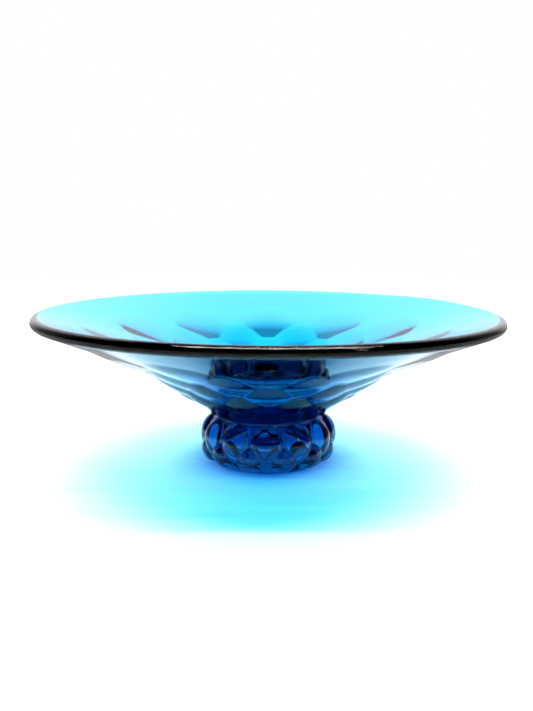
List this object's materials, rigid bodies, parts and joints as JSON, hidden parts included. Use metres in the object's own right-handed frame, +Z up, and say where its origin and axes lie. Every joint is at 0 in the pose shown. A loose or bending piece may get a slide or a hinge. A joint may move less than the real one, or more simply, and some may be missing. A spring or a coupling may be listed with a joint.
{
  "type": "footed glass bowl",
  "caption": "Wide, shallow, flared bowl of clear aqua-blue glass with rings of low round bosses on its underside, standing on a squat bossed foot.",
  "frame": {"origin": "centre of the ring that the foot stands on, on the table plane", "axes": "+Z up along the bowl's axis; the first boss of the outer ring faces -Y"},
  "size_m": [0.28, 0.28, 0.0934],
  "materials": {
    "bowl_glass": "fire-polished transparent aqua-blue glass",
    "foot_glass": "fire-polished transparent aqua-blue glass, dark where it is thick"
  },
  "bodies": {
    "root": {"bowl": "bowl_glass", "joining_wafer": "foot_glass", "foot": "foot_glass"}
  },
  "joints": []
}
